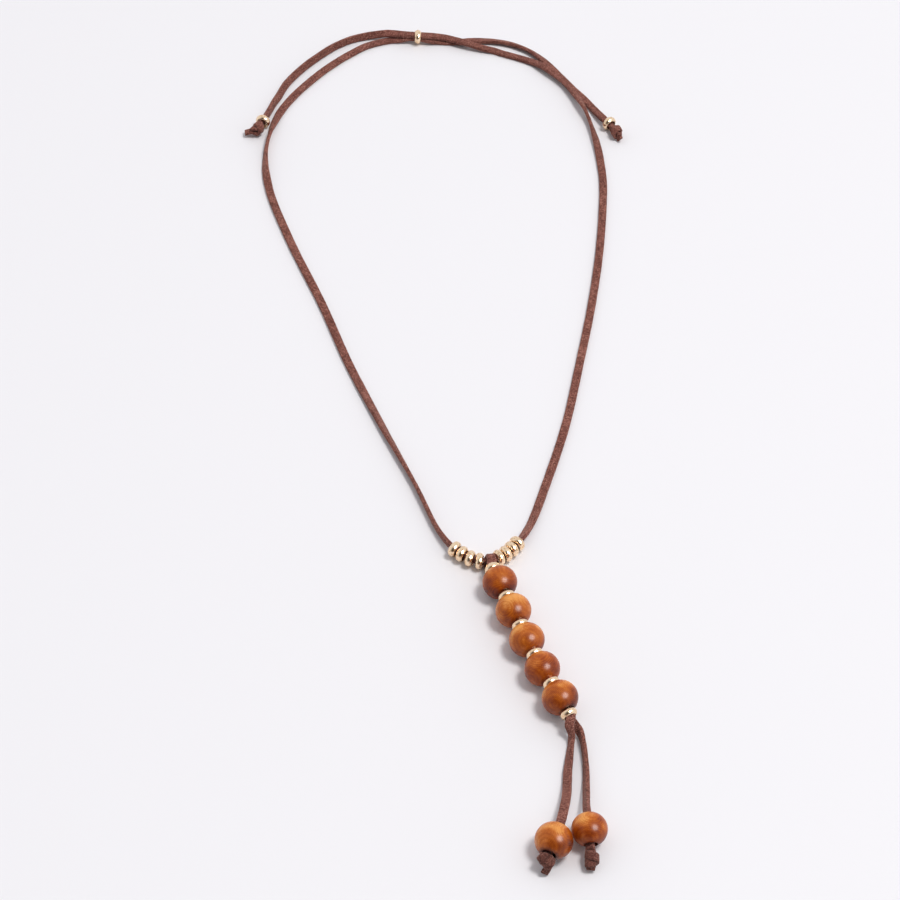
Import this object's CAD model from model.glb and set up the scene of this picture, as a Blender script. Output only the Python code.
import math

import bpy
import numpy as np
from mathutils import Matrix, Vector, noise


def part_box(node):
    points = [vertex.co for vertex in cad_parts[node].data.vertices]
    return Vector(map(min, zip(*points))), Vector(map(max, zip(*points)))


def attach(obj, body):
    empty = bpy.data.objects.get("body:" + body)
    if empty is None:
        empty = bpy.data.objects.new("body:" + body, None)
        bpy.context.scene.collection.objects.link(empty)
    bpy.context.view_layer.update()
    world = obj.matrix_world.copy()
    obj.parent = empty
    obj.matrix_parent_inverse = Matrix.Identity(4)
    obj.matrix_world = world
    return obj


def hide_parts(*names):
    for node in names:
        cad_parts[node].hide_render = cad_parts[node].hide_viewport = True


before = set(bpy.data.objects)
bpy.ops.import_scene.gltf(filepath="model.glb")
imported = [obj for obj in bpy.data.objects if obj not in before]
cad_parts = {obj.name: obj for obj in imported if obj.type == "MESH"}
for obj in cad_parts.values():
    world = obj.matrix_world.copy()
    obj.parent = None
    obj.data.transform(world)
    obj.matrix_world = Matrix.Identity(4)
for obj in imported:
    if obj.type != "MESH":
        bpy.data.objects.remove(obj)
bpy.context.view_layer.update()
bpy.ops.object.select_all(action="DESELECT")


# Camera: a short telephoto held by hand about 0.85 m from the necklace, looking down at it
# from the side of its tails, and leaning a little to the left.
CAMERA_TARGET = Vector((-0.0195, -0.0242, 0))
CAMERA_DISTANCE = 0.845
CAMERA_ELEVATION = math.radians(50)
CAMERA_HEADING = math.radians(-13.4)
CAMERA_LEAN = math.radians(5.3)

camera = bpy.data.objects.new("camera", bpy.data.cameras.new("camera"))
bpy.context.scene.collection.objects.link(camera)
camera.data.lens = 96
camera.data.sensor_width = 36
looking = (
    Matrix.Rotation(CAMERA_HEADING, 4, "Z")
    @ Matrix.Rotation(math.pi / 2 - CAMERA_ELEVATION, 4, "X")
)
camera.matrix_world = (
    Matrix.Translation(CAMERA_TARGET)
    @ looking
    @ Matrix.Rotation(CAMERA_LEAN, 4, "Z")
    @ Matrix.Translation((0, 0, CAMERA_DISTANCE))
)
bpy.context.scene.camera = camera


# Neck lace: one flat suede lace cut from split cowhide, 3 mm wide. It starts in the knot at its
# left end, crosses itself in the slider at the back of the neck, goes round the neck and
# comes back through the slider to its right knot. It lies on the table between them.
LACE_WIDTH = 0.003
LACE_THICK = 0.0014
LACE_CORNER = 0.0004
LACE_STEP = 0.0005
LACE_LOWEST = 0.00001
CURVE_POINTS = 60  # between two rows of a route, before they are spaced evenly

# The width wanders by a share of itself about every 6 mm, along one row of the noise. The nap
# stands up in tufts of two sizes: how many to the metre, and how strong.
WIDTH_WANDER = 0.035
WANDERS_PER_M = 160
WANDER_ROW = 3.1
NAP_HEIGHT = 0.00007
NAP_TUFTS = [(900, 1), (2300, 0.6)]

# Route of the middle of the lace: x, y, lift of its underside above the table, and roll in
# degrees about the direction of travel, 0 flat and 90 on edge
NECK_ROUTE = [
    (-0.0664, 0.1472, 0.00135, 75), (-0.0633, 0.1533, 0.0007, 75), (-0.0600, 0.1600, 0.0002, 70),
    (-0.0581, 0.1632, 0, 58), (-0.0543, 0.1700, 0, 60), (-0.0467, 0.1788, 0, 65),
    (-0.0394, 0.1853, 0, 66), (-0.0322, 0.1907, 0, 71), (-0.0251, 0.1943, 0, 75),
    (-0.0183, 0.1961, 0, 65), (-0.0137, 0.1964, 0.0005, 45), (-0.0089, 0.1956, 0.0016, 20),
    (-0.0050, 0.1944, 0.0023, 5), (-0.0010, 0.1930, 0.00285, 0), (0.0025, 0.1922, 0.00295, 0),
    (0.0050, 0.1918, 0.00295, 0), (0.0075, 0.1920, 0.0024, 0), (0.0109, 0.1918, 0.0019, 0),
    (0.0141, 0.1909, 0.00175, 0), (0.0171, 0.1895, 0.0017, 0), (0.0202, 0.1879, 0.0017, 0),
    (0.0233, 0.1863, 0.0016, 0), (0.0264, 0.1851, 0.0011, 0), (0.0296, 0.1840, 0.0005, 0),
    (0.0328, 0.1830, 0.0001, 0), (0.0358, 0.1812, 0, -3), (0.0419, 0.1779, 0, -5),
    (0.0478, 0.1739, 0.0005, 0), (0.0505, 0.1705, 0.0014, 0), (0.0530, 0.1670, 0.0017, 0),
    (0.0556, 0.1634, 0.0017, 0), (0.0581, 0.1591, 0.0017, -3), (0.0599, 0.1538, 0.0016, -12),
    (0.0610, 0.1498, 0.00155, -25), (0.0623, 0.1436, 0.00135, -57), (0.0628, 0.1410, 0.0009, -65),
    (0.0633, 0.1378, 0.0003, -68), (0.0636, 0.1346, 0, -66), (0.0638, 0.1291, 0, -49),
    (0.0638, 0.1254, 0, -32), (0.0636, 0.1200, 0, -15), (0.0631, 0.1129, 0, 0),
    (0.0617, 0.1015, 0, 0), (0.0538, 0.0690, 0, 0), (0.0443, 0.0386, 0, 0), (0.0338, 0.0096, 0, 0),
    (0.0233, -0.0181, 0, 0), (0.0111, -0.0443, 0, 10), (0.0023, -0.0614, 0.0002, 35),
    (-0.00405, -0.0700, 0.0015, 50), (-0.00755, -0.0732, 0.0014, 70),
    (-0.01125, -0.0753, 0.0014, 82), (-0.0130, -0.0763, 0.0015, 62),
    (-0.0146, -0.0766, 0.00155, 60), (-0.0162, -0.0764, 0.0015, 75), (-0.0181, -0.0759, 0.0014, 90),
    (-0.0223, -0.0734, 0.00135, 90), (-0.0256, -0.0699, 0.00135, 85),
    (-0.0294, -0.0610, 0.0002, 80), (-0.0344, -0.0391, 0, 72), (-0.0421, -0.0107, 0, 38),
    (-0.0494, 0.0188, 0, 0), (-0.0552, 0.0492, 0, 0), (-0.0626, 0.0812, 0, 0),
    (-0.0671, 0.1060, 0, 0), (-0.0678, 0.1142, 0, -15), (-0.0679, 0.1231, 0, -52),
    (-0.0668, 0.1319, 0, -77), (-0.0651, 0.1386, 0, -80), (-0.0636, 0.1430, 0, -71),
    (-0.0620, 0.1472, 0, -42), (-0.0601, 0.1513, 0, -20), (-0.0580, 0.1553, 0, 0),
    (-0.0518, 0.1638, 0, 0), (-0.0407, 0.1752, 0, 0), (-0.0334, 0.1814, 0, 0),
    (-0.0262, 0.1865, 0, 0), (-0.0185, 0.1910, 0, 0), (-0.0090, 0.1934, 0, 0),
    (-0.0050, 0.1932, 0.0004, 0), (-0.0010, 0.1928, 0.0013, 0), (0.0025, 0.1922, 0.00142, 0),
    (0.0054, 0.1914, 0.0013, 0), (0.0078, 0.1910, 0.00075, 0), (0.0108, 0.1909, 0.00015, 0),
    (0.0141, 0.1904, 0, 0), (0.0207, 0.1899, 0, 0), (0.0240, 0.1899, 0, 0), (0.0273, 0.1897, 0, -6),
    (0.0305, 0.1892, 0, -15), (0.0338, 0.1886, 0, -25), (0.0400, 0.1864, 0, -29),
    (0.0460, 0.1823, 0, -38), (0.0488, 0.1793, 0, -35), (0.0514, 0.1756, 0, -20),
    (0.0539, 0.1712, 0, -5), (0.0563, 0.1661, 0, 0), (0.0609, 0.1563, 0, 0), (0.0634, 0.1517, 0, 0),
    (0.0664, 0.1443, 0.0004, 0), (0.0684, 0.1384, 0.0014, 0), (0.0709, 0.1324, 0.0021, 0),
]


def spacing(points):
    """Distance from each point to the next."""
    return np.linalg.norm(np.diff(points, axis=0), axis=1)


def running_sum(steps):
    return np.concatenate([[0], np.cumsum(steps)])


def flowing(rows, step):
    """Points every step along a smooth curve through the rows, each with all its columns."""
    rows = np.array(rows, float)
    marks = running_sum(spacing(rows[:, :3]) ** 0.5)
    slopes = np.gradient(rows, marks, axis=0)
    fine = []
    for i in range(len(rows) - 1):
        gap = marks[i + 1] - marks[i]
        t = np.linspace(0, 1, CURVE_POINTS, endpoint=i == len(rows) - 2)[:, None]
        fine.append(
            (1 + 2 * t) * (1 - t) ** 2 * rows[i] + t * (1 - t) ** 2 * gap * slopes[i]
            + t * t * (3 - 2 * t) * rows[i + 1] + t * t * (t - 1) * gap * slopes[i + 1]
        )
    fine = np.vstack(fine)
    run = running_sum(spacing(fine[:, :3]))
    places = np.linspace(0, run[-1], round(run[-1] / step) + 1)
    return np.stack([np.interp(places, run, column) for column in fine.T], axis=1)


def units(vectors):
    return vectors / np.linalg.norm(vectors, axis=1, keepdims=True)


def lace_outline(width, thick, corner):
    """Section of the lace, across and through it: four rounded corners and points between."""
    points = []
    for side, (x, y) in enumerate([(1, 1), (-1, 1), (-1, -1), (1, -1)]):
        for turn in (0, 30, 60, 90):
            a = math.radians(90 * side + turn)
            points.append((
                x * (width / 2 - corner) + corner * math.cos(a),
                y * (thick / 2 - corner) + corner * math.sin(a),
            ))
        if side % 2 == 0:
            points += [(x * share * width / 2, y * thick / 2) for share in (0.45, 0, -0.45)]
        else:
            points.append((x * width / 2, 0))
    return np.array(points)


def start_editing(piece):
    bpy.ops.object.select_all(action="DESELECT")
    piece.select_set(True)
    bpy.context.view_layer.objects.active = piece
    bpy.ops.object.mode_set(mode="EDIT")
    bpy.ops.mesh.select_all(action="SELECT")


def lace_mesh(name, middle, wide, through, section):
    """A lace swept along its middle. The length of its name picks how its width wanders."""
    count, sides = len(middle), len(section)
    run = running_sum(spacing(middle))
    rings = np.empty((count, sides, 3))
    for i in range(count):
        wander = noise.noise(Vector((run[i] * WANDERS_PER_M, WANDER_ROW, len(name))))
        swell = 1 + WIDTH_WANDER * wander
        for k, (across, up) in enumerate(section):
            place = middle[i] + across * swell * wide[i] + up * through[i]
            nap = sum(force * noise.noise(Vector(place) * per_m) for per_m, force in NAP_TUFTS)
            outward = across / LACE_WIDTH * wide[i] + up / LACE_THICK * through[i]
            rings[i, k] = place + NAP_HEIGHT * nap * outward
    points = rings.reshape(-1, 3)
    points[:, 2] = np.maximum(points[:, 2], LACE_LOWEST)
    faces = []
    for ring in range(0, (count - 1) * sides, sides):
        for k in range(sides):
            beside = (k + 1) % sides
            faces.append((ring + k, ring + beside, ring + sides + beside, ring + sides + k))
    faces.append(tuple(reversed(range(sides))))
    faces.append(tuple(range((count - 1) * sides, count * sides)))
    mesh = bpy.data.meshes.new(name)
    mesh.from_pydata(points.tolist(), [], faces)
    mesh.polygons.foreach_set("use_smooth", [True] * len(mesh.polygons))
    mesh.validate()
    piece = bpy.data.objects.new(name, mesh)
    bpy.context.scene.collection.objects.link(piece)
    start_editing(piece)
    bpy.ops.mesh.normals_make_consistent(inside=False)
    bpy.ops.object.mode_set(mode="OBJECT")
    return piece


def rolled(across, up, roll):
    """The lace's width and thickness directions, turned by the roll."""
    c, s = np.cos(np.radians(roll))[:, None], np.sin(np.radians(roll))[:, None]
    return c * across + s * up, c * up - s * across


def half_height(roll):
    """Height of the lace's middle above its lowest edge."""
    s, c = np.abs(np.sin(np.radians(roll))), np.abs(np.cos(np.radians(roll)))
    half_w, half_t = LACE_WIDTH / 2, LACE_THICK / 2
    return np.maximum(
        half_w * s + (half_t - LACE_CORNER) * c, (half_w - LACE_CORNER) * s + half_t * c
    )


def feed(tree, socket, value):
    """Gives a socket a value, or links another node's output to it."""
    if isinstance(value, bpy.types.NodeSocket):
        tree.links.new(value, socket)
    else:
        socket.default_value = value


def set_up(tree, node, **settings):
    """Gives a node its own settings, and feeds its sockets, which go by their names."""
    for key, value in settings.items():
        if hasattr(node, key):
            setattr(node, key, value)
        else:
            feed(tree, node.inputs[key.replace("_", " ")], value)


def shader(tree, kind, **settings):
    made = tree.nodes.new(kind)
    set_up(tree, made, **settings)
    return made


def worked_out(tree, operation, *terms):
    """The result of a maths node on terms that are numbers or other nodes' outputs."""
    made = shader(tree, "ShaderNodeMath", operation=operation)
    for socket, term in zip(made.inputs, terms):
        feed(tree, socket, term)
    return made.outputs[0]


def ramp(tree, factor, stops):
    """A colour ramp from (place, colour) stops."""
    made = shader(tree, "ShaderNodeValToRGB", Fac=factor)
    bands = made.color_ramp.elements
    while len(bands) < len(stops):
        bands.new(1)
    for band, (place, colour) in zip(bands, stops):
        band.position = place
        band.color = (*colour, 1)
    return made.outputs["Color"]


def new_material(name):
    """A material, its nodes, its surface and the place of each point of the piece."""
    material = bpy.data.materials.new(name)
    material.use_nodes = True
    tree = material.node_tree
    place = tree.nodes.new("ShaderNodeTexCoord").outputs["Object"]
    return material, tree, tree.nodes["Principled BSDF"], place


def suede(name, dye):
    """Reddish-brown split suede: a mottled dye, lighter broken fibres on top and a deep pile."""
    material, tree, surface, place = new_material(name)
    cloud = shader(tree, "ShaderNodeTexNoise", Vector=place, Scale=240, Detail=3, Roughness=0.55)
    pile = shader(tree, "ShaderNodeTexNoise", Vector=place, Scale=2500, Detail=4, Roughness=0.75)
    tuft = shader(tree, "ShaderNodeTexNoise", Vector=place, Scale=1300, Detail=4, Roughness=0.7)
    cloud_share = 0.12
    tone = worked_out(tree, "MULTIPLY", pile.outputs["Fac"], 1 - cloud_share)
    tone = worked_out(tree, "MULTIPLY_ADD", cloud.outputs["Fac"], cloud_share, tone)
    colour = ramp(tree, tone, [
        (level, [dye * channel for channel in hide]) for level, hide in [
            (0.36, (0.034, 0.010, 0.007)), (0.46, (0.125, 0.040, 0.030)),
            (0.55, (0.290, 0.106, 0.080)), (0.66, (0.56, 0.29, 0.22)),
        ]
    ])
    rise = worked_out(tree, "ADD", pile.outputs["Fac"], tuft.outputs["Fac"])
    bump = shader(tree, "ShaderNodeBump", Height=rise, Strength=0.9, Distance=0.00022)
    set_up(
        tree, surface, Base_Color=colour, Normal=bump.outputs["Normal"], Roughness=0.95,
        Specular_IOR_Level=0.15, Sheen_Weight=0.35, Sheen_Roughness=0.4,
        Sheen_Tint=(0.9, 0.68, 0.6, 1),
    )
    return material


suede_brown = suede("suede_brown", 1)
lace_section = lace_outline(LACE_WIDTH, LACE_THICK, LACE_CORNER)

line = flowing(NECK_ROUTE, LACE_STEP)
neck_middle = line[:, :3].copy()
neck_middle[:, 2] = np.maximum(line[:, 2], 0) + half_height(line[:, 3])
travel = units(np.gradient(neck_middle, axis=0))
level = units(np.cross([0, 0, 1], travel))
neck_wide, neck_through = rolled(level, np.cross(travel, level), line[:, 3])
neck_lace = lace_mesh("lace_neck", neck_middle, neck_wide, neck_through, lace_section)
neck_lace.data.materials.append(suede_brown)
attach(neck_lace, "root")
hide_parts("neck_lace")


# Drop lace: a second lace of the same hide, folded over the neck lace at the front. Its two
# halves run together through the rondelles and beads of the drop, part below the last
# rondelle, and each goes on through a bead of its own to a knot.
PAIR_GAP = 0.0001

# Middle of the double lace inside the drop
STRING = [
    (-0.01485, -0.0798, 0.00475), (-0.0134, -0.0877, 0.00588), (-0.0087, -0.1119, 0.00594),
    (-0.0058, -0.1238, 0.00591), (-0.0022, -0.1357, 0.0060), (-0.0001, -0.1433, 0.00525),
]

# Left tail upwards from its knot, fold, and right tail downwards: x, y, z, and roll in
# degrees about the direction of travel, 0 with the width level with X
LEFT_TAIL = [
    (-0.0163, -0.1912, 0.0057, 0), (-0.0141, -0.1874, 0.00605, -5), (-0.0104, -0.1801, 0.0054, -10),
    (-0.0084, -0.1753, 0.0042, -12), (-0.0066, -0.1704, 0.0029, -20),
    (-0.0053, -0.1655, 0.0019, -36), (-0.0042, -0.1609, 0.0016, -40),
    (-0.0029, -0.1566, 0.00155, -53), (-0.0016, -0.1522, 0.00155, -67),
    (-0.0009, -0.1500, 0.0017, -71), (-0.00055, -0.1482, 0.0028, -72),
    (-0.0011, -0.1460, 0.0054, -30),
]
FOLD = [
    (-0.0144, -0.0781, 0.0053, 5), (-0.0144, -0.0771, 0.0056, 6), (-0.0144, -0.0761, 0.00545, 5),
    (-0.01442, -0.07535, 0.0045, -4), (-0.0145, -0.07465, 0.0029, -12),
    (-0.01465, -0.0744, 0.0017, -8), (-0.0148, -0.07505, 0.00088, -2),
    (-0.01495, -0.0764, 0.00072, 0), (-0.0150, -0.0776, 0.00085, 0), (-0.0149, -0.0787, 0.00205, 0),
]
RIGHT_TAIL = [
    (0.0012, -0.1448, 0.0030, 13), (0.00225, -0.1466, 0.00235, 55), (0.0027, -0.1487, 0.0022, 77),
    (0.00275, -0.1508, 0.0019, 84), (0.0027, -0.1528, 0.00165, 84), (0.0024, -0.1561, 0.00155, 82),
    (0.0014, -0.1628, 0.0017, 72), (0.0006, -0.1664, 0.0022, 66), (-0.0005, -0.1715, 0.0035, 62),
    (-0.0016, -0.1761, 0.0052, 61), (-0.0022, -0.1801, 0.0064, 58), (-0.0024, -0.1847, 0.00575, 50),
    (-0.0033, -0.1910, 0.0042, 40),
]


def level_with_x(travel):
    return units(np.array([1.0, 0, 0]) - travel[:, :1] * travel)


def string_half(side):
    """One half of the double lace, from the top: side 1 is the left tail's, -1 the right's."""
    string = np.array(STRING)
    travel = units(np.gradient(string, axis=0))
    apart = np.cross(travel, level_with_x(travel))
    return np.column_stack([
        string + side * (LACE_THICK + PAIR_GAP) / 2 * apart, np.zeros(len(string))
    ])


line = flowing(
    np.vstack([LEFT_TAIL, string_half(1)[::-1], FOLD, string_half(-1), RIGHT_TAIL]), LACE_STEP
)
drop_middle = line[:, :3]
travel = units(np.gradient(drop_middle, axis=0))
level = level_with_x(travel)
drop_wide, drop_through = rolled(level, np.cross(travel, level), line[:, 3])
drop_lace = lace_mesh("lace_drop", drop_middle, drop_wide, drop_through, lace_section)
drop_lace.data.materials.append(suede_brown)
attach(drop_lace, "root")
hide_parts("drop_lace")


# Knots: each lace end is tied in one tight overhand knot that stops its bead or rondelle, and
# cut off square. The lace runs in along the middle, wraps back round itself one and a half
# times, and comes out beside its own way in. Pulled tight, it is narrower and rounder there.
KNOT_WIDTH = 0.0029
KNOT_THICK = 0.0012
KNOT_CORNER = 0.00056
KNOT_STEP = 0.00025

# Least height of the lace's middle in a knot, and the share of the way from its wraps to its
# cut end at which it has turned towards that end
KNOT_LOWEST = 0.0008
KNOT_TURNED = 0.35

suede_pressed = suede("suede_pressed", 0.72)

# Path inside the knot: along its axis, turn round it in degrees, and distance from it
KNOT_TURNS = [
    (-0.0012, 90, 0.0006), (0.0004, 90, 0.0007), (0.0011, 95, 0.0009), (0.0015, 125, 0.0013),
    (0.0013, 170, 0.0016), (0.0010, 230, 0.0017), (0.0006, 290, 0.0018), (0.0002, 350, 0.0018),
    (-0.0002, 410, 0.0019), (-0.0006, 470, 0.0019), (-0.0011, 525, 0.0018),
    (-0.0015, 570, 0.0014), (-0.0012, 605, 0.0009), (-0.0002, 630, 0.0007),
    (0.0014, 630, 0.0007),
]


def overhand_knot(node, hide, lace_end, lace_side, first, second, stub, start, hand):
    """A knot whose wraps lie round the line from first to second, with its cut end at stub.
    They start that many degrees round it, and wind the way that hand says, 1 or -1."""
    first, second, stub = Vector(first), Vector(second), Vector(stub)
    centre, axis = (first + second) / 2, (second - first).normalized()
    out = axis.orthogonal().normalized()
    side = axis.cross(out)
    rows = [(*lace_end, *lace_side)]
    for along, turn, away in KNOT_TURNS:
        a = math.radians(start + hand * turn)
        radial = math.cos(a) * out + math.sin(a) * side
        rows.append((*(centre + along * axis + away * radial), *radial))
    rows.append((*(second + KNOT_TURNED * (stub - second)), *radial))
    rows.append((*stub, *radial))
    line = flowing(rows, KNOT_STEP)
    middle, facing = line[:, :3], line[:, 3:6]
    travel = units(np.gradient(middle, axis=0))
    through = units(facing - np.sum(facing * travel, axis=1, keepdims=True) * travel)
    wide = np.cross(through, travel)
    section = lace_outline(KNOT_WIDTH, KNOT_THICK, KNOT_CORNER)
    middle[:, 2] = np.maximum(middle[:, 2], KNOT_LOWEST)
    piece = lace_mesh(node.replace("knot", "overhand"), middle, wide, through, section)
    piece.data.materials.append(hide)
    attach(piece, "root")
    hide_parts(node)
    return piece


neck_knots = [
    overhand_knot(
        "knot_neck_left", suede_brown, neck_middle[0], neck_through[0],
        (-0.0676, 0.1449, 0.0028), (-0.0694, 0.1433, 0.0027), (-0.0735, 0.1436, 0.0014), 40, 1,
    ),
    overhand_knot(
        "knot_neck_right", suede_brown, neck_middle[-1], neck_through[-1],
        (0.0721, 0.1298, 0.0027), (0.0726, 0.1279, 0.0026), (0.0734, 0.1252, 0.0014), 200, -1,
    ),
]
drop_knots = [
    overhand_knot(
        "knot_drop_left", suede_pressed, drop_middle[0], drop_through[0],
        (-0.0185, -0.1919, 0.0064), (-0.0166, -0.1942, 0.0035), (-0.0184, -0.1957, 0.0012),
        180, -1,
    ),
    overhand_knot(
        "knot_drop_right", suede_pressed, drop_middle[-1], drop_through[-1],
        (-0.0031, -0.1927, 0.0033), (-0.0034, -0.1946, 0.0028), (-0.0040, -0.1964, 0.0013),
        120, 1,
    ),
]


# Wood beads: turned from a reddish hardwood, drilled, countersunk at both mouths and dipped
# in clear lacquer. Five are threaded on the double lace between rondelles, and one on each
# tail rests against its knot.
BEAD_FULL_R = 0.006
BEAD_FLAT = 0.0004  # less radius along the hole than across it
BEAD_HOLE_R = 0.0023
BEAD_SINK = 0.0006
BEAD_PROFILE_POINTS = 120
BEAD_STEPS = 96
ON_THE_CUT = 0.000001  # a point this near a cut lies on it
SEAM_GAP = 0.000002  # points this near each other are one

# The drilled mouths are stained darker, from the first to the second of these distances from
# a bead's middle, in millimetres
MOUTH_STAIN = (4.75, 5.35)

# A tail bead's hole follows the lace this many steps each side of its middle
HOLE_REACH = 8


def middle_of(node):
    low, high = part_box(node)
    return (low + high) / 2


def cut_profile(name, points, radius, off_axis, hole):
    """A circle upright on X, cut away within the hole's radius of Z and left in edit mode."""
    bpy.ops.object.select_all(action="DESELECT")
    bpy.ops.mesh.primitive_circle_add(
        vertices=points, radius=radius, location=(off_axis, 0, 0), rotation=(math.pi / 2, 0, 0)
    )
    bpy.ops.object.transform_apply()
    pattern = bpy.context.object
    pattern.name = name
    start_editing(pattern)
    bpy.ops.mesh.bisect(plane_co=(hole, 0, 0), plane_no=(1, 0, 0), clear_inner=True)
    return pattern


def select_points(pattern, wanted):
    """Selects only the points whose place is wanted, and goes on in edit mode."""
    bpy.ops.object.mode_set(mode="OBJECT")
    for vertex in pattern.data.vertices:
        vertex.select = wanted(vertex.co)
    bpy.ops.object.mode_set(mode="EDIT")


def spin_round(steps):
    """Spins the profile that is being edited a full turn round Z and closes the seam."""
    bpy.ops.mesh.select_all(action="SELECT")
    bpy.ops.mesh.spin(steps=steps, angle=2 * math.pi, center=(0, 0, 0), axis=(0, 0, 1))
    bpy.ops.mesh.select_all(action="SELECT")
    bpy.ops.mesh.remove_doubles(threshold=SEAM_GAP)
    bpy.ops.mesh.normals_make_consistent(inside=False)
    bpy.ops.object.mode_set(mode="OBJECT")
    bpy.ops.object.shade_smooth()


def threaded(pattern, name, middle, hole, scale=1.0):
    """A copy of a piece modelled round Z, put at its place with its hole along the lace."""
    piece = bpy.data.objects.new(name, pattern.data.copy())
    bpy.context.scene.collection.objects.link(piece)
    turn = hole.to_track_quat("Z", "Y").to_matrix().to_4x4()
    piece.data.transform(Matrix.Translation(middle) @ turn @ Matrix.Scale(scale, 4))
    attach(piece, "root")
    return piece


bead_pattern = cut_profile(
    "bead_pattern", BEAD_PROFILE_POINTS, BEAD_FULL_R - BEAD_FLAT, BEAD_FLAT, BEAD_HOLE_R
)
select_points(bead_pattern, lambda place: place.x < BEAD_HOLE_R + ON_THE_CUT)
bpy.ops.mesh.edge_face_add()
bpy.ops.mesh.bevel(offset=BEAD_SINK, segments=4, affect="VERTICES")
spin_round(BEAD_STEPS)


def reach(tree, vector, direction):
    """How far a node's vector goes in a direction."""
    made = shader(tree, "ShaderNodeVectorMath", operation="DOT_PRODUCT")
    feed(tree, made.inputs[0], vector)
    feed(tree, made.inputs[1], direction)
    return made.outputs["Value"]


def lacquered_wood(name, middle, hole, turn, light, red):
    """Reddish hardwood under gloss lacquer: clouded dye, growth rings, fine fibres and pores.
    Its patterns are in millimetres from the bead's middle."""
    material, tree, surface, place = new_material(name)
    centred = shader(
        tree, "ShaderNodeMapping", vector_type="TEXTURE", Vector=place, Location=middle,
        Scale=(0.001, 0.001, 0.001),
    ).outputs[0]
    grain = shader(
        tree, "ShaderNodeMapping", Vector=centred, Rotation=[math.radians(a) for a in turn]
    ).outputs[0]
    lengthways = shader(tree, "ShaderNodeMapping", Vector=grain, Scale=(0.25, 2.4, 2.4)).outputs[0]
    dashes = shader(tree, "ShaderNodeMapping", Vector=grain, Scale=(0.9, 6, 6)).outputs[0]
    cloud = shader(tree, "ShaderNodeTexNoise", Vector=grain, Scale=0.17, Detail=2, Roughness=0.45)
    growth = shader(
        tree, "ShaderNodeTexWave", wave_type="RINGS", Vector=grain, Scale=0.26, Distortion=3.5,
        Detail=3, Detail_Scale=0.5,
    )
    lines = shader(
        tree, "ShaderNodeTexWave", bands_direction="Y", Vector=grain, Scale=0.75,
        Distortion=2.2, Detail=2, Detail_Scale=0.35,
    )
    fibres = shader(
        tree, "ShaderNodeTexNoise", Vector=lengthways, Scale=1.7, Detail=6, Roughness=0.65
    )
    pores = shader(tree, "ShaderNodeTexNoise", Vector=dashes, Scale=1.1, Detail=2, Roughness=0.5)

    # The dye is lighter towards the back and the top, and each texture swings it both ways
    dye_run = reach(tree, centred, (-0.008, 0.032, 0.016))
    layers = [(cloud, 1.15), (growth, 0.07), (lines, 0.10), (fibres, 0.55)]
    tone = worked_out(tree, "ADD", dye_run, 0.5 + light - sum(swing for _, swing in layers) / 2)
    for texture, swing in layers:
        tone = worked_out(tree, "MULTIPLY_ADD", texture.outputs["Fac"], swing, tone)
    colour = ramp(tree, tone, [
        (0.15, (0.11 + red, 0.013, 0.001)), (0.40, (0.30 + red, 0.055, 0.003)),
        (0.62, (0.50, 0.122, 0.010)), (0.92, (0.76, 0.32, 0.075)),
    ])
    pitted = ramp(tree, pores.outputs["Fac"], [(0.28, (0.3, 0.18, 0.14)), (0.35, (1, 1, 1))])
    speckled = shader(
        tree, "ShaderNodeMix", data_type="RGBA", blend_type="MULTIPLY", Factor=0.7, A=colour,
        B=pitted,
    )

    from_middle = worked_out(tree, "ABSOLUTE", reach(tree, centred, hole.normalized()))
    stain = shader(
        tree, "ShaderNodeMapRange", Value=from_middle, From_Min=MOUTH_STAIN[0],
        From_Max=MOUTH_STAIN[1],
    )
    mouth = ramp(tree, stain.outputs["Result"], [(0, (1, 1, 1)), (1, (0.22, 0.13, 0.1))])
    stained = shader(
        tree, "ShaderNodeMix", data_type="RGBA", blend_type="MULTIPLY", Factor=1,
        A=speckled.outputs["Result"], B=mouth,
    )
    bump = shader(
        tree, "ShaderNodeBump", Height=fibres.outputs["Fac"], Strength=0.12, Distance=0.00005
    )
    set_up(
        tree, surface, Base_Color=stained.outputs["Result"], Normal=bump.outputs["Normal"],
        Roughness=0.4, Specular_IOR_Level=0.08, Coat_Weight=0.42, Coat_Roughness=0.24,
    )
    return material


# Each bead: the turn of its grain in degrees, and how light and how red its wood is
BEAD_WOOD = {
    "wood_bead_1": ((20, 60, 10), -0.10, 0.02),
    "wood_bead_2": ((80, 15, 40), 0.12, 0.0),
    "wood_bead_3": ((35, 100, 75), 0.04, 0.01),
    "wood_bead_4": ((120, 40, 15), -0.03, 0.02),
    "wood_bead_5": ((10, 140, 55), -0.05, 0.01),
    "tail_bead_left": ((60, 25, 130), 0.01, 0.0),
    "tail_bead_right": ((95, 70, 160), -0.03, 0.02),
}
drop_rings = [middle_of(f"rondelle_drop_{i}") for i in range(1, 7)]

for i, (node, (turn, light, red)) in enumerate(BEAD_WOOD.items()):
    middle = middle_of(node)
    if node.startswith("wood_bead"):
        hole = drop_rings[i + 1] - drop_rings[i]
    else:
        nearest = int(np.argmin(np.linalg.norm(drop_middle - np.array(middle), axis=1)))
        hole = Vector(drop_middle[nearest + HOLE_REACH] - drop_middle[nearest - HOLE_REACH])
    low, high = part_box(node)
    scale = (high.z - low.z) / 2 / BEAD_FULL_R
    bead = threaded(bead_pattern, node.replace("bead", "ball"), middle, hole, scale)
    bead.data.materials.append(lacquered_wood(f"{node}_wood", middle, hole, turn, light, red))
    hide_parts(node)
bpy.data.objects.remove(bead_pattern)


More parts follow.
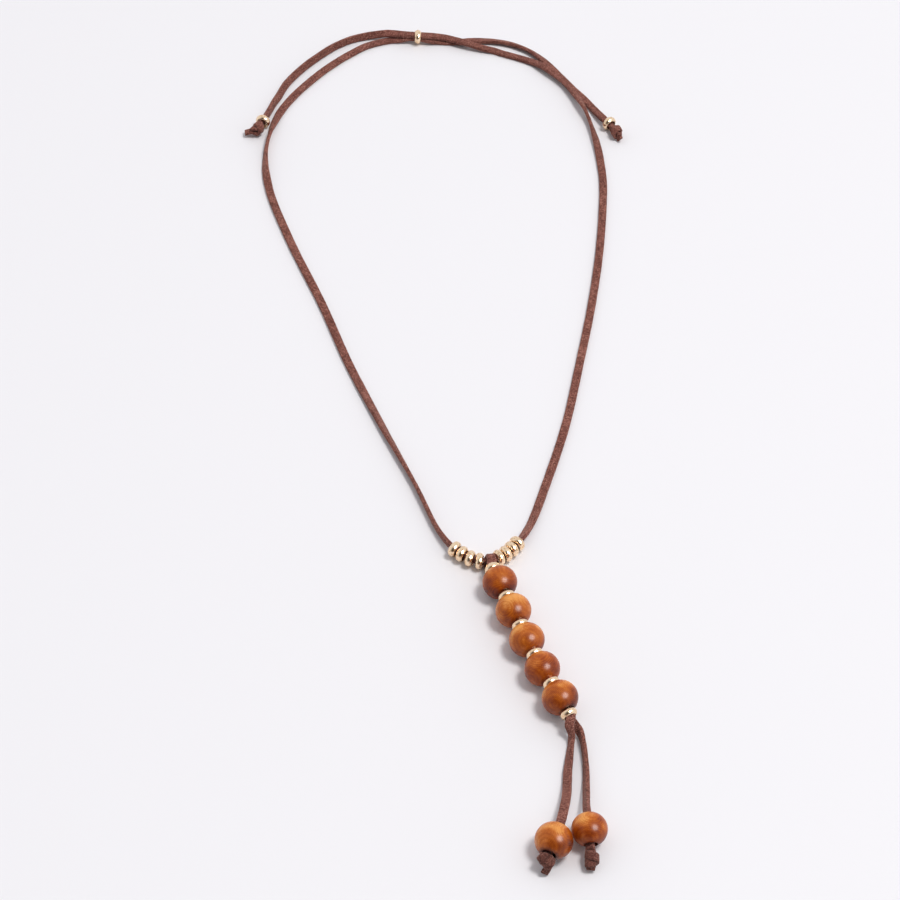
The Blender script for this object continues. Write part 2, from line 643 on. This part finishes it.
# Rondelles: small cast brass spacer rings with a rounded rim, plated in pale polished gold.
# They hold the fold and the beads apart, the slider grips both strands at the back of the
# neck, and one stops against each end knot.
RONDELLE_R = 0.00285
RONDELLE_HOLE_R = 0.002
RONDELLE_HALF_T = 0.00125
RONDELLE_END_R = 0.00215
RONDELLE_EDGE = 0.00012
RONDELLE_PROFILE_POINTS = 72
RONDELLE_STEPS = 64

# The rim is rounded on a circle through its widest point and the edges of both flat ends
rim = RONDELLE_R - RONDELLE_END_R
bulge = (RONDELLE_HALF_T ** 2 + rim ** 2) / (2 * rim)
rondelle_pattern = cut_profile(
    "rondelle_pattern", RONDELLE_PROFILE_POINTS, bulge, RONDELLE_R - bulge, RONDELLE_HOLE_R
)
# These two cuts pass over points within 0.1 mm of their plane, so the ends of the profile stay
# 0.08 mm further out. What is then extruded from them are faces, and they stay hidden inside
# the spun ring. With threshold=ON_THE_CUT in the cuts there would be none.
for side in (1, -1):
    bpy.ops.mesh.select_all(action="SELECT")
    bpy.ops.mesh.bisect(
        plane_co=(0, 0, side * RONDELLE_HALF_T), plane_no=(0, 0, side), clear_outer=True
    )
select_points(rondelle_pattern, lambda place: abs(place.z) > RONDELLE_HALF_T - ON_THE_CUT)
bpy.ops.mesh.extrude_region_move(
    TRANSFORM_OT_translate={"value": (RONDELLE_HOLE_R - RONDELLE_END_R, 0, 0)}
)
bpy.ops.mesh.edge_face_add()
bpy.ops.mesh.bevel(offset=RONDELLE_EDGE, segments=3, affect="VERTICES")
spin_round(RONDELLE_STEPS)


def pale_gold(name):
    """Polished pale gold plating with faint cast unevenness, and tarnish where hands don't rub."""
    material, tree, surface, place = new_material(name)
    cast = shader(tree, "ShaderNodeTexNoise", Vector=place, Scale=700, Detail=3, Roughness=0.55)
    rubbed = shader(tree, "ShaderNodeTexNoise", Vector=place, Scale=1500, Detail=4, Roughness=0.6)
    polish = shader(
        tree, "ShaderNodeMapRange", Value=rubbed.outputs["Fac"], To_Min=0.12, To_Max=0.3
    )
    bump = shader(
        tree, "ShaderNodeBump", Height=cast.outputs["Fac"], Strength=0.5, Distance=0.00006
    )
    colour = ramp(tree, rubbed.outputs["Fac"], [
        (0.34, (0.60, 0.34, 0.16)), (0.45, (0.92, 0.68, 0.45)), (0.75, (0.98, 0.81, 0.62)),
    ])
    set_up(
        tree, surface, Base_Color=colour, Metallic=1, Roughness=polish.outputs["Result"],
        Normal=bump.outputs["Normal"],
    )
    return material


def hole_direction(node):
    """The thinnest direction of a ring's own solid, which is the way its hole runs."""
    points = np.array([v.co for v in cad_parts[node].data.vertices])
    _, directions = np.linalg.eigh(np.cov((points - points.mean(axis=0)).T))
    return Vector(directions[:, 0])


gold = pale_gold("pale_gold")
rondelles = [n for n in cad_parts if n.startswith("rondelle") or n == "slider"]
for node in sorted(rondelles):
    ring = threaded(
        rondelle_pattern, node.replace("rondelle", "ring") + "_gold", middle_of(node),
        hole_direction(node),
    )
    ring.data.materials.append(gold)
    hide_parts(node)
bpy.data.objects.remove(rondelle_pattern)


# Table and light: a plain pale table top, a wide soft light high on the right for the
# shadows, one nearer the camera for the gloss on beads and gold, and a room that is pale
# everywhere but behind the camera.
bpy.ops.object.select_all(action="DESELECT")
bpy.ops.mesh.primitive_plane_add(size=6, location=(0, 0, 0))
table_top = bpy.context.object
table_top.name = "table_top"
paint = bpy.data.materials.new("table_paint")
paint.use_nodes = True
set_up(
    paint.node_tree, paint.node_tree.nodes["Principled BSDF"],
    Base_Color=(0.83, 0.82, 0.845, 1), Roughness=0.6, Specular_IOR_Level=0.25,
)
table_top.data.materials.append(paint)


def soft_light(name, place, size, watts, colour):
    lamp = bpy.data.objects.new(name, bpy.data.lights.new(name, "AREA"))
    bpy.context.scene.collection.objects.link(lamp)
    lamp.data.shape = "DISK"
    lamp.data.size = size
    lamp.data.energy = watts
    lamp.data.color = colour
    lamp.location = place
    lamp.rotation_euler = (-Vector(place)).to_track_quat("-Z", "Y").to_euler()
    return lamp


key_light = soft_light("key_light", (0.90, -0.16, 2.75), 0.85, 44, (1, 0.985, 0.965))
key_light.visible_glossy = False
gloss_light = soft_light("gloss_light", (0.62, -0.70, 1.20), 0.90, 32, (1, 0.985, 0.96))
gloss_light.visible_diffuse = False

room = bpy.data.worlds.new("room")
room.use_nodes = True
bpy.context.scene.world = room
walls = room.node_tree
facing = walls.nodes.new("ShaderNodeTexCoord").outputs["Generated"]
viewer_side = reach(walls, facing, Vector((-0.18, -0.80, 0.57)).normalized())
brightness = ramp(walls, viewer_side, [
    (0.55, (0.96, 0.97, 1)), (0.80, (0.30, 0.29, 0.29)), (0.95, (0.06, 0.055, 0.05)),
])
set_up(walls, walls.nodes["Background"], Color=brightness, Strength=0.86)
bpy.context.scene.view_settings.view_transform = "Standard"
